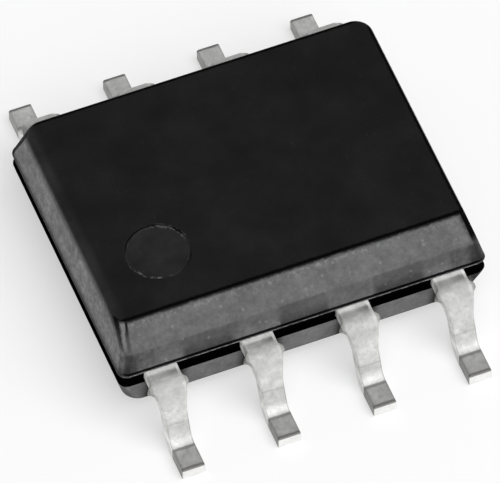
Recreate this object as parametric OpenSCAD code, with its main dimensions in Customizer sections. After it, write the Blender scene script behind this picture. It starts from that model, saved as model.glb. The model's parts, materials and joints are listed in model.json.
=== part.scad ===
// Eight-lead small-outline optocoupler, in millimetres.
// The feet stand on z = 0 and the origin is under the middle of the moulding.
// Leads 1 to 4 leave the -Y side, under the bevelled edge, and lead 1 is next to the round mark.
// Leads 5 to 8 leave the +Y side, numbered back from +X to -X.

/* [Moulding] */
// Length of the moulding along the rows of leads, at its parting line
body_l = 4.88; // [4.80:0.01:5.10]
// Width of the moulding across the rows of leads, at its parting line
body_w = 3.86; // [3.75:0.01:4.00]
// Height of the moulding
body_h = 1.25; // [1.20:0.01:1.50]
// Height of the moulding below the leads
lower_h = 0.52; // [0.40:0.01:0.55]
// Height of the underside of the moulding above the feet
standoff = 0.20; // [0.10:0.01:0.25]
// Draft of the walls, in degrees from upright
draft = 14; // [5:1:15]
// Radius of the upright corners, at the flat top
corner_r = 0.03; // [0.02:0.01:0.20]
// Width of the bevel along the top edge over leads 1 to 4, seen from above
bevel_w = 0.36; // [0.25:0.01:0.40]
// Height of that bevel, seen from the end
bevel_h = 0.22; // [0.15:0.01:0.30]
// Depth of the recessed band that runs round the moulding at the height of the leads
band_depth = 0.05; // [0.02:0.01:0.10]

/* [Lead 1 mark] */
// Diameter of the round mark
mark_d = 0.82; // [0.50:0.01:0.90]
// Depth of the round mark
mark_depth = 0.02; // [0.01:0.005:0.05]
// Distance of the mark's middle from the end of the moulding
mark_from_end = 1.01; // [0.80:0.01:1.20]
// Distance of the mark's middle from the lead 1 side of the moulding
mark_from_side = 1.29; // [1.10:0.01:1.40]

/* [Leads, outside the moulding] */
// Distance between neighbouring leads
pitch = 1.27; // [1.25:0.01:1.29]
// Thickness of the lead frame
lead_t = 0.18; // [0.17:0.01:0.25]
// Width of a lead where it leaves the moulding
lead_w = 0.42; // [0.36:0.01:0.50]
// Width of a lead over the two stubs left where its tie bar was trimmed off
stub_w = 0.52; // [0.48:0.01:0.58]
// Width of a leg below the stubs, where it starts to narrow
leg_w = 0.40; // [0.36:0.01:0.44]
// Width of a foot
foot_w = 0.30; // [0.25:0.01:0.38]
// Distance from the moulding to the corner of the upper bend
shoulder_l = 0.35; // [0.30:0.01:0.38]
// Distance from the corner of the lower bend to the tip of the foot
foot_l = 0.42; // [0.38:0.01:0.48]
// Distance over the tips of opposite feet
span = 6.00; // [5.90:0.01:6.20]
// Inside radius of the upper bend
bend_r = 0.10; // [0.08:0.01:0.12]
// Inside radius of the lower bend
foot_r = 0.12; // [0.08:0.01:0.15]

/* [Lead frame, inside the moulding] */
// Gap between the emitter's half of the frame and the detector's half
isolation = 0.40; // [0.35:0.01:0.50]
// Distance of that gap's middle from the middle of the moulding, towards leads 1 to 4
isolation_offset = 0.25; // [0.20:0.01:0.30]
// Gap between neighbouring leads of one half
slit = 0.20; // [0.15:0.01:0.25]
// Margin of a paddle round its die
margin = 0.15; // [0.12:0.01:0.18]
// Length of a bonding post or anchor along the lead
post_l = 0.38; // [0.34:0.01:0.44]
// Width of a bonding post or anchor across the lead
post_w = 0.52; // [0.48:0.01:0.60]
// Width of the strap that joins the detector's paddle to lead 5, and of lead 8's arm
strap_w = 0.40; // [0.36:0.01:0.44]
// Length of the anchors of the two unconnected leads, from the moulding's side
anchor_l = 0.80; // [0.70:0.01:0.90]

/* [Dies] */
// Side of the emitter die
emitter_w = 0.30; // [0.25:0.01:0.34]
// Length of the detector die along the rows of leads
detector_l = 0.80; // [0.70:0.01:0.84]
// Width of the detector die across the rows of leads
detector_w = 0.65; // [0.55:0.01:0.68]
// Thickness of both dies
die_t = 0.15; // [0.12:0.01:0.16]
// Thickness of the layer that holds a die to its paddle
attach_t = 0.02; // [0.01:0.005:0.03]
// Width of that layer outside the die's edge
attach_edge = 0.03; // [0.02:0.01:0.05]
// Distance of a bond pad's middle from the edge of the detector die
pad_inset = 0.09; // [0.06:0.01:0.12]

/* [Bond wires] */
// Diameter of a bond wire
wire_d = 0.03; // [0.025:0.001:0.035]
// Rise of a short wire's arc over its chord
low_loop = 0.10; // [0.08:0.01:0.12]
// Rise of a long wire's arc over its chord
high_loop = 0.14; // [0.12:0.01:0.16]
// Diameter of the ball and of the stitch at a wire's ends
bond_d = 0.08; // [0.07:0.01:0.10]
// Height of the ball and of the stitch
bond_h = 0.04; // [0.036:0.001:0.045]

/* [Coupling gel] */
// Radius of the gel dome at the lead frame
gel_r = 1.30; // [1.25:0.01:1.35]
// Height of the gel dome
gel_h = 0.36; // [0.34:0.01:0.40]
// Thickness of the white reflecting coat over the gel
coat_t = 0.04; // [0.02:0.01:0.06]

/* [Hidden] */
$fn = 64;

// Length by which a cutting shape passes the surface that it cuts
over = 1;
// Steps in which a lead's bends are drawn
bend_steps = 12;

// Heights
frame_z = standoff + lower_h;
frame_top = frame_z + lead_t;
body_top = standoff + body_h;
upper_h = body_top - frame_top;
parting_r = corner_r + max(upper_h, lower_h) * tan(draft);
die_z = frame_top + attach_t;
die_top = die_z + die_t;

// Plan of the lead frame
side_y = body_w / 2;
root_y = side_y - band_depth - 2 * lead_t;
emitter_edge = -isolation_offset - isolation / 2;
detector_edge = -isolation_offset + isolation / 2;
emitter_y = emitter_edge - margin / 2 - emitter_w / 2;
detector_y = detector_edge + margin + detector_w / 2;
emitter_pad_x = -emitter_w / 2 - margin;
emitter_pad_y = emitter_y - emitter_w / 2 - margin;
detector_pad_x = detector_l / 2 + slit;
detector_pad_y = detector_y + detector_w / 2 + margin;
post_y = detector_pad_y + slit;
strap_y = detector_y;

// Side view of a lead: the corners of its upper surface, and how far its leg leans out
upper_corner = [side_y + shoulder_l, frame_top];
lower_corner = [span / 2 - foot_l, lead_t];
lean = atan2(lower_corner.x - upper_corner.x, upper_corner.y - lower_corner.y);
turn = 90 - lean;
upper_tangent = (bend_r + lead_t) * tan(turn / 2);
lower_tangent = foot_r * tan(turn / 2);

// Sphere that the gel dome is cut from
gel_sphere_r = (gel_r * gel_r + gel_h * gel_h) / (2 * gel_h);
gel_sphere_z = frame_top + gel_h - gel_sphere_r;

// Bond pads on the detector die, towards its edges
bond_x = detector_l / 2 - pad_inset;
bond_y = detector_y + detector_w / 2 - pad_inset;

function lead_x(n) = n <= 4 ? (n - 2.5) * pitch : (6.5 - n) * pitch;
function along(angle) = [cos(angle), sin(angle)];

// ---- Moulding ----

// Wall of a drafted block with its outer face towards +X, drawn from the middle of a corner
module drafted_wall(run, w, r, h) {
    rotate([90, 0, 0])
        linear_extrude(w, center = true)
            polygon([[-run, 0], [r, 0], [r - h * tan(draft), h], [-run, h]]);
}

// Half of the moulding: a block with round corners that narrows by the draft as it rises
module drafted_block(l, w, r, h) {
    run_x = l - 2 * r;
    run_y = w - 2 * r;
    for (turn = [0, 180])
        rotate(turn) {
            translate([run_x / 2, 0, 0])
                drafted_wall(run_x, run_y, r, h);
            translate([0, run_y / 2, 0])
                rotate(90)
                    drafted_wall(run_y, run_x, r, h);
        }
    for (x = [-1, 1], y = [-1, 1])
        translate([x * run_x / 2, y * run_y / 2, 0])
            cylinder(h = h, r1 = r, r2 = r - h * tan(draft));
}

// Block with round corners and upright walls
module upright_block(l, w, r, h) {
    run_x = l - 2 * r;
    run_y = w - 2 * r;
    translate([-l / 2, -run_y / 2, 0])
        cube([l, run_y, h]);
    translate([-run_x / 2, -w / 2, 0])
        cube([run_x, w, h]);
    for (x = [-1, 1], y = [-1, 1])
        translate([x * run_x / 2, y * run_y / 2, 0])
            cylinder(h = h, r = r);
}

module bevel_cut() {
    foot_z = body_top - bevel_h;
    foot_y = side_y - (foot_z - frame_top) * tan(draft);
    rise = over * bevel_h / bevel_w;
    rotate([90, 0, 90])
        linear_extrude(body_l + 2 * over, center = true)
            polygon([
                [-foot_y - over, foot_z - rise],
                [-foot_y + bevel_w + over, body_top + rise],
                [-foot_y - over, body_top + rise]
            ]);
}

module lead_1_mark() {
    translate([-body_l / 2 + mark_from_end, -body_w / 2 + mark_from_side, body_top - mark_depth])
        cylinder(h = mark_depth + over, d = mark_d);
}

module moulding() {
    color("#2a2b2e")
        difference() {
            union() {
                translate([0, 0, frame_top])
                    drafted_block(body_l, body_w, parting_r, upper_h);
                translate([0, 0, frame_z])
                    upright_block(body_l - 2 * band_depth, body_w - 2 * band_depth,
                                  parting_r - band_depth, lead_t);
                translate([0, 0, frame_z])
                    mirror([0, 0, 1])
                        drafted_block(body_l, body_w, parting_r, lower_h);
            }
            bevel_cut();
            lead_1_mark();
            for (n = [1 : 8])
                lead(n);
            dome(coat_t);
            detector_wires();
        }
}

// ---- Leads ----

// Points along an arc, from one angle to another
function arc(middle, r, from, to) =
    [for (i = [0 : bend_steps]) middle + r * along(from + (to - from) * i / bend_steps)];

// Side view of a lead outside the moulding, y to the right and z up: its upper surface out to the
// tip of the foot, then its lower surface back
module gull_wing() {
    upper_bend = [upper_corner.x - upper_tangent, frame_z - bend_r];
    lower_bend = [lower_corner.x + lower_tangent, lead_t + foot_r];
    polygon(concat(
        [[root_y, frame_top]],
        arc(upper_bend, bend_r + lead_t, 90, lean),
        arc(lower_bend, foot_r, 180 + lean, 270),
        [[span / 2, lead_t], [span / 2, 0]],
        arc(lower_bend, foot_r + lead_t, 270, 180 + lean),
        arc(upper_bend, bend_r, lean, 90),
        [[root_y, frame_z]]
    ));
}

// Plan view that leaves the shoulder narrow and lets the stubs stand out beyond it
module shoulder_plan() {
    bend_start = upper_corner.x - upper_tangent;
    stub_start = bend_start + (stub_w - lead_w) / 2;
    polygon([
        [-lead_w / 2, root_y - over], [lead_w / 2, root_y - over],
        [lead_w / 2, bend_start], [stub_w / 2, stub_start],
        [stub_w / 2, span], [-stub_w / 2, span],
        [-stub_w / 2, stub_start], [-lead_w / 2, bend_start]
    ]);
}

// Front view that gives the stubs, the narrowing leg and the foot their widths
module leg_front() {
    stub_end = frame_top - lead_t / 6;
    leg_top = stub_end - (stub_w - leg_w) / 2;
    leg_bottom = leg_top - lead_t * 1.5;
    right = [
        [foot_w / 2, -over], [foot_w / 2, leg_bottom], [leg_w / 2, leg_top],
        [stub_w / 2, stub_end], [stub_w / 2, frame_top + over]
    ];
    left = [for (i = [len(right) - 1 : -1 : 0]) [-right[i].x, right[i].y]];
    polygon(concat(right, left));
}

module lead_outside() {
    intersection() {
        rotate([90, 0, 90])
            linear_extrude(2 * stub_w, center = true)
                gull_wing();
        linear_extrude(2 * body_top)
            shoulder_plan();
        rotate([90, 0, 0])
            translate([0, 0, -span])
                linear_extrude(2 * span)
                    leg_front();
    }
}

// Flat piece of the frame inside the moulding, between two corners
module plate(x0, y0, x1, y1) {
    translate([min(x0, x1), min(y0, y1), frame_z])
        cube([abs(x1 - x0), abs(y1 - y0), lead_t]);
}

// Straight part of a lead, from where it overlaps the outside stretch in to y
module neck(n, y) {
    x = lead_x(n);
    plate(x - lead_w / 2, (n <= 4 ? -1 : 1) * (root_y + lead_t), x + lead_w / 2, y);
}

// Unconnected leads 1 and 4: a hook that holds the lead in the moulding
module anchor_plates(n) {
    x = lead_x(n);
    inward = -sign(x);
    tip_y = -side_y + anchor_l;
    neck(n, tip_y);
    plate(x - inward * lead_w / 2, tip_y, x + inward * (post_w - lead_w / 2), tip_y - strap_w / 2);
}

// Lead 2: the post that the emitter's wire lands on
module emitter_post_plates() {
    right_x = emitter_pad_x - slit;
    neck(2, emitter_pad_y - slit);
    plate(right_x - post_w, emitter_pad_y - slit - lead_t, right_x, emitter_edge - margin / 2);
}

// Lead 3: the paddle that carries the emitter
module emitter_paddle_plates() {
    neck(3, emitter_pad_y);
    plate(emitter_pad_x, emitter_pad_y, lead_x(3) + lead_w / 2, emitter_edge);
}

// Lead 5: the paddle that carries the detector, and its strap
module detector_paddle_plates() {
    neck(5, strap_y - strap_w / 2);
    plate(lead_x(5) + lead_w / 2, strap_y - strap_w / 2, detector_pad_x, strap_y + strap_w / 2);
    plate(-detector_pad_x, detector_edge, detector_pad_x, detector_pad_y);
}

// Leads 6 and 7: the posts that the output and enable wires land on
module detector_post_plates(n) {
    x = lead_x(n);
    neck(n, post_y);
    plate(x - post_w / 2, post_y, x + post_w / 2, post_y + post_l);
}

// Lead 8: the arm that the supply wire lands on
module supply_arm_plates() {
    neck(8, strap_y - strap_w / 2);
    plate(lead_x(8) - lead_w / 2, strap_y - strap_w / 2,
          -detector_pad_x - slit, strap_y + strap_w / 2);
}

module lead(n) {
    color("#c9c8c4") {
        translate([lead_x(n), 0, 0])
            mirror([0, n <= 4 ? 1 : 0, 0])
                lead_outside();
        if (n == 1 || n == 4) anchor_plates(n);
        if (n == 2) emitter_post_plates();
        if (n == 3) emitter_paddle_plates();
        if (n == 5) detector_paddle_plates();
        if (n == 6 || n == 7) detector_post_plates(n);
        if (n == 8) supply_arm_plates();
    }
}

// ---- Dies ----

module die(y, l, w) {
    translate([-l / 2, y - w / 2, die_z])
        cube([l, w, die_t]);
}

module die_attach(y, l, w) {
    translate([-l / 2 - attach_edge, y - w / 2 - attach_edge, frame_top])
        cube([l + 2 * attach_edge, w + 2 * attach_edge, attach_t]);
}

module emitter_die() {
    color("#b8433a") die(emitter_y, emitter_w, emitter_w);
}

module detector_die() {
    color("#55606e") die(detector_y, detector_l, detector_w);
}

module emitter_attach() {
    color("#9a9a98") die_attach(emitter_y, emitter_w, emitter_w);
}

module detector_attach() {
    color("#9a9a98") die_attach(detector_y, detector_l, detector_w);
}

// ---- Bond wires ----

// Wire from a ball on a die, at from, to a stitch on the frame, at to: one arc in an upright plane
module bond_wire(from, to, rise) {
    reach = norm([to.x - from.x, to.y - from.y]);
    start = [0, die_top + bond_h / 2];
    end = [reach, frame_top + bond_h / 2];
    chord = norm(end - start);
    arc_r = (chord * chord / 4 + rise * rise) / (2 * rise);
    up = [start.y - end.y, reach] / chord;
    middle = (start + end) / 2 - (arc_r - rise) * up;
    start_angle = atan2(start.y - middle.y, start.x - middle.x);
    end_angle = atan2(end.y - middle.y, end.x - middle.x);
    color("#d9b34a") {
        translate([from.x, from.y, die_top])
            cylinder(h = bond_h, d = bond_d);
        translate([from.x, from.y, 0])
            rotate([90, 0, atan2(to.y - from.y, to.x - from.x)])
                translate(middle)
                    rotate([0, 0, end_angle])
                        rotate_extrude(angle = start_angle - end_angle)
                            translate([arc_r, 0])
                                circle(d = wire_d);
        translate([to.x, to.y, frame_top])
            cylinder(h = bond_h, d = bond_d);
    }
}

module emitter_wire() {
    bond_wire([0, emitter_y], [emitter_pad_x - slit - bond_d * 1.5, emitter_y], low_loop);
}

module output_wire() {
    bond_wire([bond_x, bond_y], [lead_x(6), post_y + post_l - bond_d], high_loop);
}

module enable_wire() {
    bond_wire([-bond_x, bond_y], [lead_x(7), post_y + post_l - bond_d], high_loop);
}

module supply_wire() {
    bond_wire([-bond_x, detector_y], [-detector_pad_x - slit - bond_d * 1.5, strap_y], low_loop);
}

module ground_wire() {
    bond_wire([bond_x, detector_y], [detector_pad_x + bond_d, strap_y], low_loop);
}

module detector_wires() {
    output_wire();
    enable_wire();
    supply_wire();
    ground_wire();
}

// ---- Coupling gel ----

// Dome over both dies, thicker all over by the coat
module dome(coat) {
    intersection() {
        translate([0, 0, gel_sphere_z])
            sphere(gel_sphere_r + coat, $fn = 180);
        translate([-body_l / 2, -body_w / 2, frame_top])
            cube([body_l, body_w, upper_h]);
    }
}

module coupling_gel() {
    color("#dfe6ea")
        difference() {
            dome(0);
            emitter_die();
            emitter_attach();
            emitter_wire();
            detector_die();
            detector_attach();
            detector_wires();
        }
}

module reflector_coat() {
    color("#f2f2ee")
        difference() {
            dome(coat_t);
            dome(0);
            emitter_wire();
            detector_wires();
        }
}

moulding();
lead(1);  // lead_1
lead(2);  // lead_2
lead(3);  // lead_3
lead(4);  // lead_4
lead(5);  // lead_5
lead(6);  // lead_6
lead(7);  // lead_7
lead(8);  // lead_8
emitter_die();
emitter_attach();
emitter_wire();
detector_die();
detector_attach();
output_wire();
enable_wire();
supply_wire();
ground_wire();
coupling_gel();
reflector_coat();
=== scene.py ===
import json
import logging
import math
from dataclasses import dataclass
from enum import Enum
from functools import cached_property, reduce
from typing import Any, ClassVar, Iterable, Mapping, NamedTuple, Sequence, Union

import bmesh
import bpy
from mathutils import Matrix, Vector


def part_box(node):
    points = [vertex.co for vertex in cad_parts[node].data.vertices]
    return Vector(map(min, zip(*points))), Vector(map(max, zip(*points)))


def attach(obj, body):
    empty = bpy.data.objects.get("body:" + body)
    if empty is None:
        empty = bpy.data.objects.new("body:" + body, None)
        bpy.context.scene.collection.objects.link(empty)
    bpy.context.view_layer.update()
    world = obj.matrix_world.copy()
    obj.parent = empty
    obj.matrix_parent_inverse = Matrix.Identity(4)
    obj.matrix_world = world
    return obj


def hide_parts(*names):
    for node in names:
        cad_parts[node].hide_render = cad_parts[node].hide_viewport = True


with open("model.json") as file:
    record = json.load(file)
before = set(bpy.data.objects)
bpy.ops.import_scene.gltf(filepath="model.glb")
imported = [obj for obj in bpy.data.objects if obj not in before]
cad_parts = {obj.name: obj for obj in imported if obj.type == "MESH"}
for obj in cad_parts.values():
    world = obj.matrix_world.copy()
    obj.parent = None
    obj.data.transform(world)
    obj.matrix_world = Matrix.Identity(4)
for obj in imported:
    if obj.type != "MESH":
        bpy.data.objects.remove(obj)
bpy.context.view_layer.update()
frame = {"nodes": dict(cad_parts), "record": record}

logging.basicConfig(level=logging.INFO, format="%(name)s: %(message)s")
log = logging.getLogger("optocoupler")

MM = 0.001
LEADS_IN_ROW = 4

Flat = tuple[float, float]
Point = tuple[float, float, float]
Colour = tuple[float, float, float]


class Sum(str, Enum):
    """Sums that a shader's Math node does."""

    ADD = "ADD"
    SUBTRACT = "SUBTRACT"
    MULTIPLY = "MULTIPLY"
    DIVIDE = "DIVIDE"
    MINIMUM = "MINIMUM"
    MAXIMUM = "MAXIMUM"
    ABSOLUTE = "ABSOLUTE"
    FRACTION = "FRACT"
    ANGLE = "ARCTAN2"


class Cell(str, Enum):
    """What a cell pattern measures."""

    NEAREST = "F1"
    EDGE = "DISTANCE_TO_EDGE"


class Row(Enum):
    """The two rows of leads, by the sign of Y on their side."""

    BEVELLED = -1
    PLAIN = 1


def between(start: float, end: float, share: float) -> float:
    """Value a share of the way from start to end."""
    return start + (end - start) * share


def stretch(start: Sequence[float], end: Sequence[float], shares: Iterable[float]) -> list[Any]:
    """Points that lie shares of the way from one point to another."""
    return [tuple(between(*pair, share) for pair in zip(start, end)) for share in shares]


def arc(centre: Flat, radius: float, start: float, end: float, steps: int) -> list[Flat]:
    """Points round a circle from one angle in degrees to another, both ends among them."""
    angles = [math.radians(between(start, end, i / steps)) for i in range(steps + 1)]
    return [(centre[0] + radius * math.cos(angle), centre[1] + radius * math.sin(angle))
            for angle in angles]


def middle_and_half(node: str) -> tuple[Vector, Vector]:
    """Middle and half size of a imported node, in millimetres."""
    low, high = (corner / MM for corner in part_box(node))
    return (low + high) / 2, (high - low) / 2


class Signal:
    """A number that varies over a surface, so that shader sums read as plain arithmetic."""

    def __init__(self, shading: "Shading", socket: bpy.types.NodeSocket) -> None:
        """Wraps one output socket of a shading's node tree."""
        self.shading = shading
        self.socket = socket

    def __add__(self, other: "Value") -> "Signal":
        """Sum of two values."""
        return self.shading.math(Sum.ADD, self, other)

    __radd__ = __add__

    def __sub__(self, other: "Value") -> "Signal":
        """This value less another."""
        return self.shading.math(Sum.SUBTRACT, self, other)

    def __rsub__(self, other: "Value") -> "Signal":
        """Another value less this one."""
        return self.shading.math(Sum.SUBTRACT, other, self)

    def __mul__(self, other: "Value") -> "Signal":
        """Product of two values."""
        return self.shading.math(Sum.MULTIPLY, self, other)

    __rmul__ = __mul__

    def __truediv__(self, other: "Value") -> "Signal":
        """This value over another."""
        return self.shading.math(Sum.DIVIDE, self, other)

    def __neg__(self) -> "Signal":
        """The value with its sign turned."""
        return 0.0 - self

    def __abs__(self) -> "Signal":
        """Size of the value, without its sign."""
        return self.shading.math(Sum.ABSOLUTE, self)

    def __or__(self, other: "Value") -> "Signal":
        """Larger of two values, so that a mask shows where either does."""
        return self.shading.math(Sum.MAXIMUM, self, other)

    __ror__ = __or__

    def __and__(self, other: "Value") -> "Signal":
        """Smaller of two values."""
        return self.shading.math(Sum.MINIMUM, self, other)

    __rand__ = __and__

    def rise(self, start: float, end: float) -> "Signal":
        """Mask that climbs smoothly from 0 at start to 1 at end; start may be the larger."""
        low, high, first, last = (start, end, 0.0, 1.0) if start < end else (end, start, 1.0, 0.0)
        return self.shading.signal("MapRange", {"interpolation_type": "SMOOTHSTEP"}, {
            "Value": self, "From Min": low, "From Max": high, "To Min": first, "To Max": last})

    def band(self, low: float, high: float, soft: float) -> "Signal":
        """Mask that is 1 between two values and fades to 0 over soft outside them."""
        return self.rise(low - soft, low) * self.rise(high + soft, high)

    def blend(self, first: "Value", second: "Value") -> "Signal":
        """Value that goes from first to second as this one goes from 0 to 1."""
        return first + self * (second - first)


Value = Union[Signal, float]


class Parts(NamedTuple):
    """Three parts of a vector that varies over a surface."""

    x: Signal
    y: Signal
    z: Signal


class Shading:
    """Node tree that one method fills with nodes and small ones with what recurs."""

    def __init__(self, owner: Any) -> None:
        """Takes a material or a world and empties its node tree.

        Args:
            owner: The material or world whose nodes are made here.
        """
        owner.use_nodes = True
        self.owner = owner
        self.tree = owner.node_tree
        self.tree.nodes.clear()

    def add(self, kind: str, settings: Mapping[str, Any] | None = None,
            inputs: Mapping[Any, Any] | None = None) -> bpy.types.Node:
        """Adds one node.

        Args:
            kind: The node's type, without the ShaderNode that it starts with.
            settings: The node's own properties, which are set first.
            inputs: Values or links by the name or number of the input socket.

        Returns:
            The new node.
        """
        node = self.tree.nodes.new("ShaderNode" + kind)
        for name, value in (settings or {}).items():
            setattr(node, name, value)
        for name, value in (inputs or {}).items():
            socket = node.inputs[name]
            if isinstance(value, Signal):
                value = value.socket
            if isinstance(value, bpy.types.NodeSocket):
                self.tree.links.new(value, socket)
            elif isinstance(value, tuple) and len(value) == 3 and len(socket.default_value) == 4:
                socket.default_value = (*value, 1.0)
            else:
                socket.default_value = value
        return node

    def signal(self, kind: str, settings: Mapping[str, Any] | None = None,
               inputs: Mapping[Any, Any] | None = None, output: Any = 0) -> Signal:
        """Adds one node and gives one of its outputs as a signal."""
        return Signal(self, self.add(kind, settings, inputs).outputs[output])

    def math(self, what: Sum, *values: Value) -> Signal:
        """Adds one Math node over one or two values."""
        return self.signal("Math", {"operation": what.value}, dict(enumerate(values)))

    def parts(self, vector: bpy.types.NodeSocket) -> Parts:
        """Three parts of a vector."""
        return Parts(*(Signal(self, out) for out in self.add("SeparateXYZ", inputs={0: vector}).outputs))

    @cached_property
    def place(self) -> bpy.types.NodeSocket:
        """Place on the part, in millimetres."""
        here = self.add("TexCoord").outputs["Object"]
        return self.add("VectorMath", {"operation": "SCALE"}, {0: here, "Scale": 1.0 / MM}).outputs[0]

    @cached_property
    def at(self) -> Parts:
        """Place on the part along each of its axes, in millimetres."""
        return self.parts(self.place)

    @cached_property
    def facing(self) -> Parts:
        """Direction that the surface faces, on the part's own axes."""
        return self.parts(self.add("TexCoord").outputs["Normal"])

    def reach(self, x: Signal, y: Signal) -> Signal:
        """Distance from a point that lies x and y away."""
        away = self.add("CombineXYZ", inputs={0: x, 1: y}).outputs[0]
        return self.signal("VectorMath", {"operation": "LENGTH"}, {0: away}, "Value")

    def noise(self, scale: float, detail: float = 2.0, rough: float = 0.5, warp: float = 0.0) -> Signal:
        """Cloudy noise from 0 to 1, with scale features in a millimetre."""
        return self.signal("TexNoise", inputs={
            "Vector": self.place, "Scale": scale, "Detail": detail, "Roughness": rough, "Distortion": warp})

    def cells(self, scale: float, measure: Cell = Cell.NEAREST, scatter: float = 1.0) -> bpy.types.Node:
        """Cell pattern with scale cells in a millimetre."""
        return self.add("TexVoronoi", {"feature": measure.value},
                        {"Vector": self.place, "Scale": scale, "Randomness": scatter})

    def cell_lots(self, scale: float) -> Signal:
        """One random number from 0 to 1 for each cell."""
        return self.parts(self.cells(scale).outputs["Color"]).x

    def specks(self, scale: float, share: float, size: float) -> Signal:
        """Scattered round specks.

        Args:
            scale: Cells in a millimetre.
            share: Share of the cells that hold a speck.
            size: Radius of a speck, in cells.

        Returns:
            A mask that is 1 in the specks.
        """
        pattern = self.cells(scale)
        chosen = self.parts(pattern.outputs["Color"]).x.rise(share + 0.02, share)
        return Signal(self, pattern.outputs["Distance"]).rise(size, size * 0.5) * chosen

    def mix(self, share: Value, first: Any, second: Any) -> bpy.types.NodeSocket:
        """Colour that goes from first to second as share goes from 0 to 1."""
        return self.add("Mix", {"data_type": "RGBA"}, {0: share, 6: first, 7: second}).outputs[2]

    def layered(self, colour: Any, *layers: tuple[Value, Any]) -> bpy.types.NodeSocket:
        """Colour with others laid over it in turn, each given with the mask that it shows in."""
        return reduce(lambda under, layer: self.mix(layer[0], under, layer[1]), layers, colour)

    def marked(self, lightness: Signal, *marks: tuple[float, Signal]) -> Signal:
        """Lightness changed by marks, each given after the share that it adds or, below 0, takes."""
        return reduce(lambda light, mark: light * (1.0 + mark[0] * mark[1]), marks, lightness)

    def tint(self, colour: Any, amount: Value) -> bpy.types.NodeSocket:
        """Colour made darker or lighter by an amount round 1."""
        return self.add("VectorMath", {"operation": "SCALE"}, {0: colour, "Scale": amount}).outputs[0]

    def relief(self, *layers: tuple[Signal, float]) -> bpy.types.NodeSocket:
        """Bumps laid over one another.

        Args:
            layers: Each bump's height from 0 to 1, and the millimetres that 1 stands for.

        Returns:
            The normal of the surface with all the bumps on it.
        """
        under: dict[str, Any] = {}
        for height, depth in layers:
            inputs = {"Height": height, "Distance": depth * MM, "Strength": 1.0, **under}
            under = {"Normal": self.add("Bump", inputs=inputs).outputs[0]}
        return under["Normal"]

    def surface(self, **inputs: Any) -> None:
        """Ends the tree in a plain shader.

        Args:
            inputs: Values or links by the words of the shader's sockets, in small letters.
        """
        named = {name.replace("_", " ").title().replace("Ior", "IOR"): value
                 for name, value in inputs.items()}
        shader = self.add("BsdfPrincipled", inputs=named)
        self.add("OutputMaterial", inputs={"Surface": shader.outputs[0]})


@dataclass(frozen=True)
class PartSizes:
    """Sizes of the package in millimetres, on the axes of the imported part."""

    half_length: float
    half_width: float
    bottom: float
    top: float
    frame_top: float
    half_span: float
    pitch: float
    lead_thickness: float = 0.18
    draft: float = math.tan(math.radians(14.0))
    front_corner: float = 0.12
    back_corner: float = 0.15
    top_left_corner: float = 0.15
    top_right_corner: float = 0.07
    bottom_corner: float = 0.22
    top_back_corner: float = 0.23
    bevel_width: float = 0.36
    bevel_height: float = 0.22
    band_depth: float = 0.05
    lead_width: float = 0.42
    stub_width: float = 0.52
    leg_width: float = 0.40
    foot_width: float = 0.30
    flat_foot: float = 0.34
    mark_from_end: float = 1.01
    mark_from_side: float = 1.29
    mark_radius: float = 0.41
    mark_depth: float = 0.02

    @classmethod
    def of_frame(cls) -> "PartSizes":
        """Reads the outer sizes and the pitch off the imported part.

        Returns:
            The sizes, rounded to a thousandth of a millimetre.
        """
        low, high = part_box("moulding")
        lead_low, lead_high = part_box("lead_1")
        pads = {mount["name"]: mount["pos_m"] for mount in frame["record"]["mounts"]}
        pitch = pads["pad_2"][0] - pads["pad_1"][0]
        read = (high.x, high.y, low.z, high.z, lead_high.z, -lead_low.y, pitch)
        return cls(*(round(size / MM, 3) for size in read))

    @property
    def frame_bottom(self) -> float:
        """Height of the underside of the lead frame."""
        return self.frame_top - self.lead_thickness

    @property
    def bevel_foot(self) -> float:
        """Height at which the bevel starts."""
        return self.top - self.bevel_height

    @property
    def bevel_slope(self) -> float:
        """Distance that the bevel leans in over each millimetre of its height."""
        return self.bevel_width / self.bevel_height

    @property
    def top_inset(self) -> float:
        """Distance that the draft takes the top in from the parting line."""
        return (self.top - self.frame_top) * self.draft

    @property
    def bevel_top_inset(self) -> float:
        """Distance of the bevel's top edge from the parting line."""
        return (self.bevel_foot - self.frame_top) * self.draft + self.bevel_width

    @property
    def foot_start(self) -> float:
        """Distance from the middle at which a foot lies flat."""
        return self.half_span - self.flat_foot

    @property
    def mark(self) -> Flat:
        """Middle of the lead 1 mark."""
        return (self.mark_from_end - self.half_length, self.mark_from_side - self.half_width)

    def lead_x(self, number: int) -> float:
        """Place of a lead along its row; the second row is numbered backwards."""
        middle = (LEADS_IN_ROW + 1) / 2
        return (number - middle if number <= LEADS_IN_ROW else LEADS_IN_ROW + middle - number) * self.pitch


class Finish(Shading):
    """A material of the part, named after the record's slot that it belongs to.

    Offsets in the masks are millimetres from the size that each mask follows.
    """

    slot: ClassVar[str]

    def __init__(self, size: PartSizes) -> None:
        """Starts the material and shades it.

        Args:
            size: Sizes of the package, which the masks follow.
        """
        super().__init__(bpy.data.materials.new(self.slot))
        self.size = size
        self.shade()

    def shade(self) -> None:
        """Fills the node tree."""
        raise NotImplementedError

    @cached_property
    def from_lead(self) -> Signal:
        """Distance along the row from the middle of the nearest lead, below 0 on its left."""
        return (self.math(Sum.FRACTION, self.at.x / self.size.pitch) - 0.5) * self.size.pitch


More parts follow.
